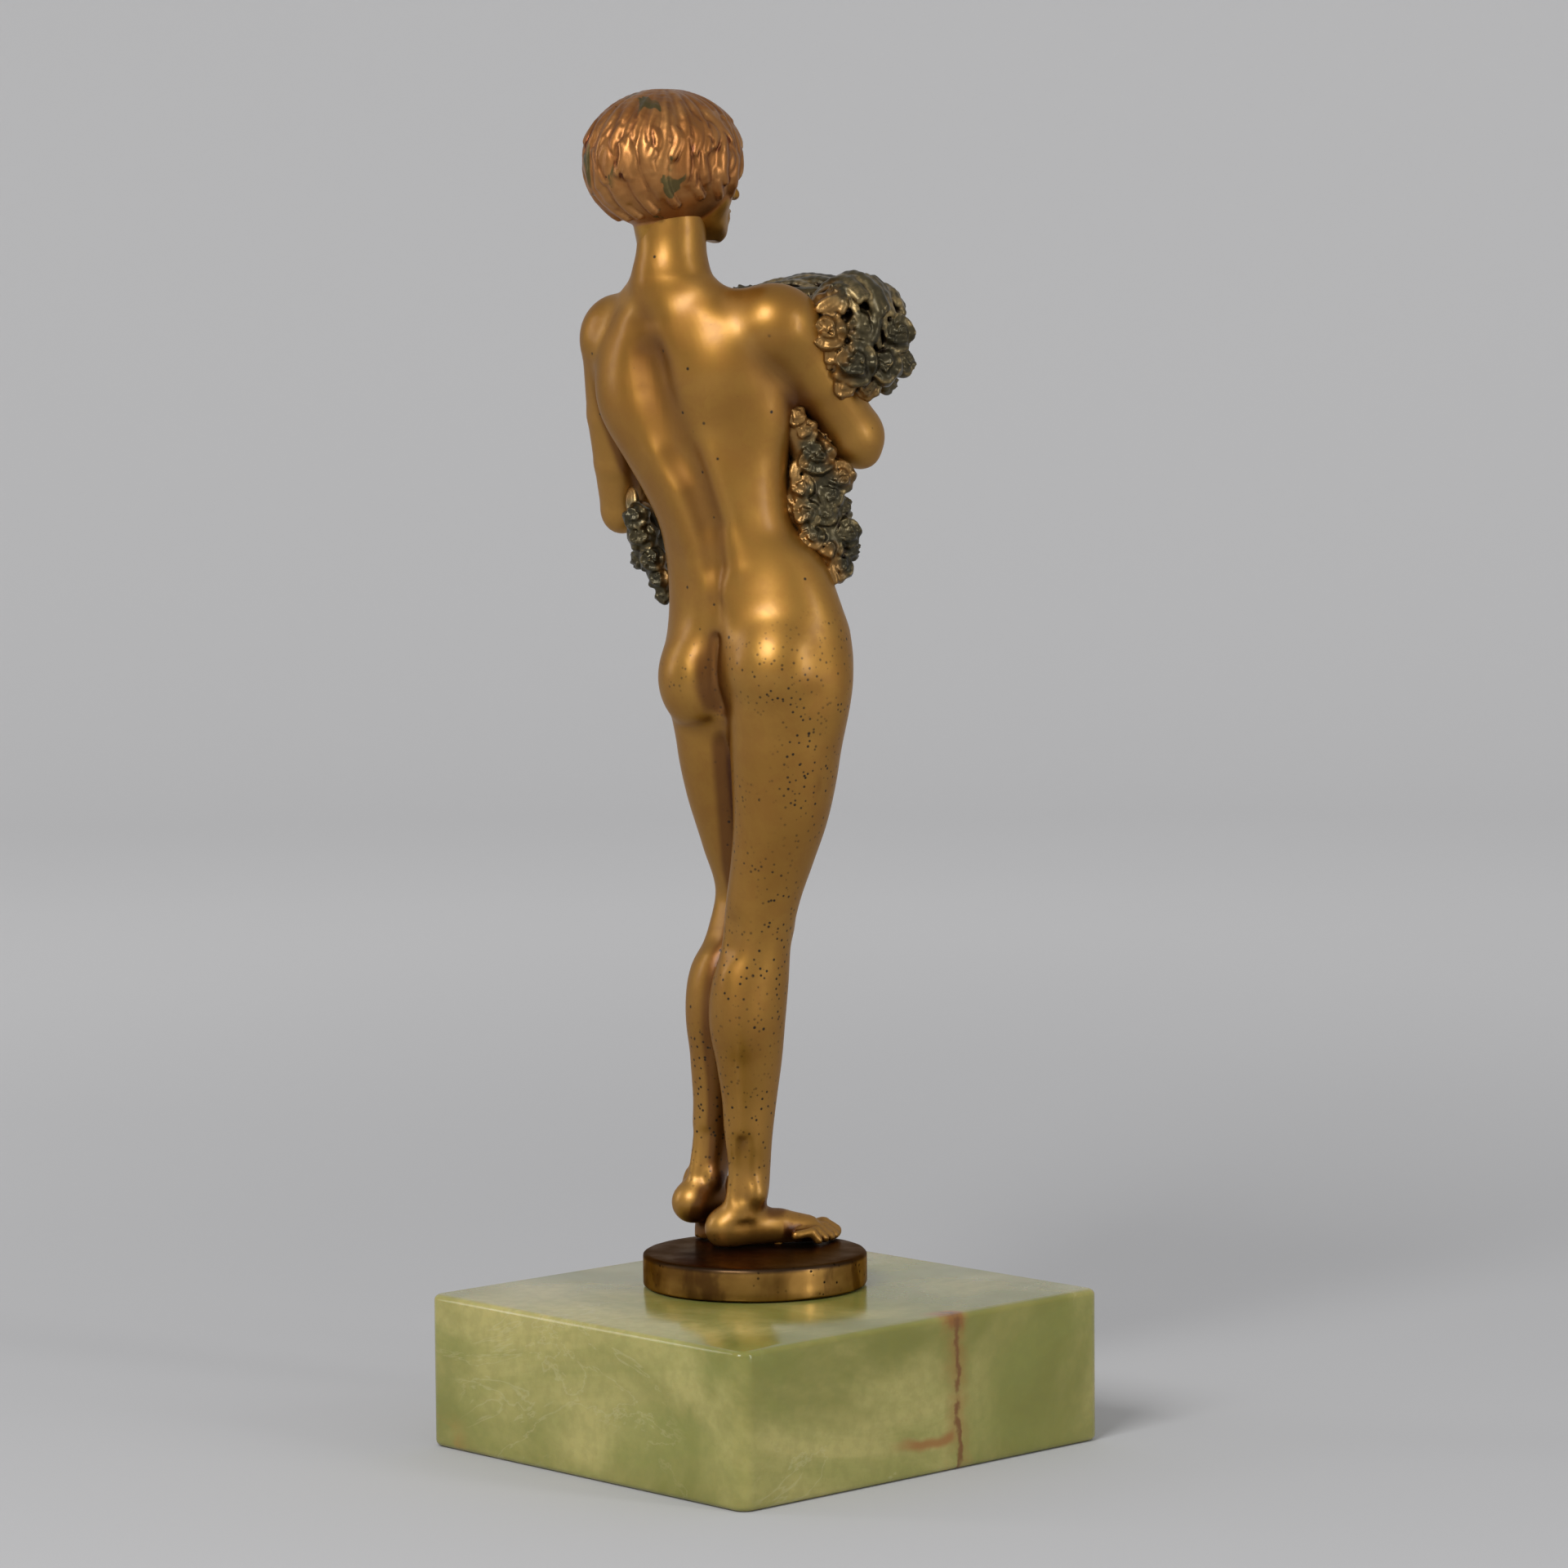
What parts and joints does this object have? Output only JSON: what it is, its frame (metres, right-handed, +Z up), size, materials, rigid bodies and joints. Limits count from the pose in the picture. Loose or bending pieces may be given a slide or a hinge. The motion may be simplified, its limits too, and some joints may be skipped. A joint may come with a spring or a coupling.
{
  "type": "bronze statuette",
  "caption": "Bronze dancer seen from any side, head turned over her right shoulder, hugging an armful of roses, on a round bronze disc and a square green onyx plinth.",
  "frame": {"origin": "middle of the plinth's underside, on the surface that it stands on", "axes": "+Z up; the figure faces -Y, so +X is towards her left; the plinth's sides lie along X and Y"},
  "size_m": [0.0807, 0.085, 0.234],
  "materials": {
    "onyx": "polished, cloudy green with pale veins and a rusty crack",
    "bronze_disc": "polished brown bronze with a worn golden rim",
    "bronze": "satin golden-brown patina, browner in the hollows, with fine dark pits",
    "bronze_roses": "dark green-brown patina rubbed golden on the ridges",
    "steel": "plain steel"
  },
  "bodies": {
    "root": {"onyx_plinth": "onyx", "base_disc": "bronze_disc", "body_casting": "bronze", "head_casting": "bronze", "left_arm": "bronze", "right_arm": "bronze", "rose_bouquet": "bronze_roses", "left_rose_trail": "bronze_roses", "right_rose_trail": "bronze_roses", "neck_dowel": "steel", "left_arm_dowel": "steel", "right_arm_dowel": "steel", "standing_foot_dowel": "steel", "lifted_foot_dowel": "steel", "mounting_stud": "steel", "washer": "steel", "hex_nut": "steel"}
  },
  "joints": []
}
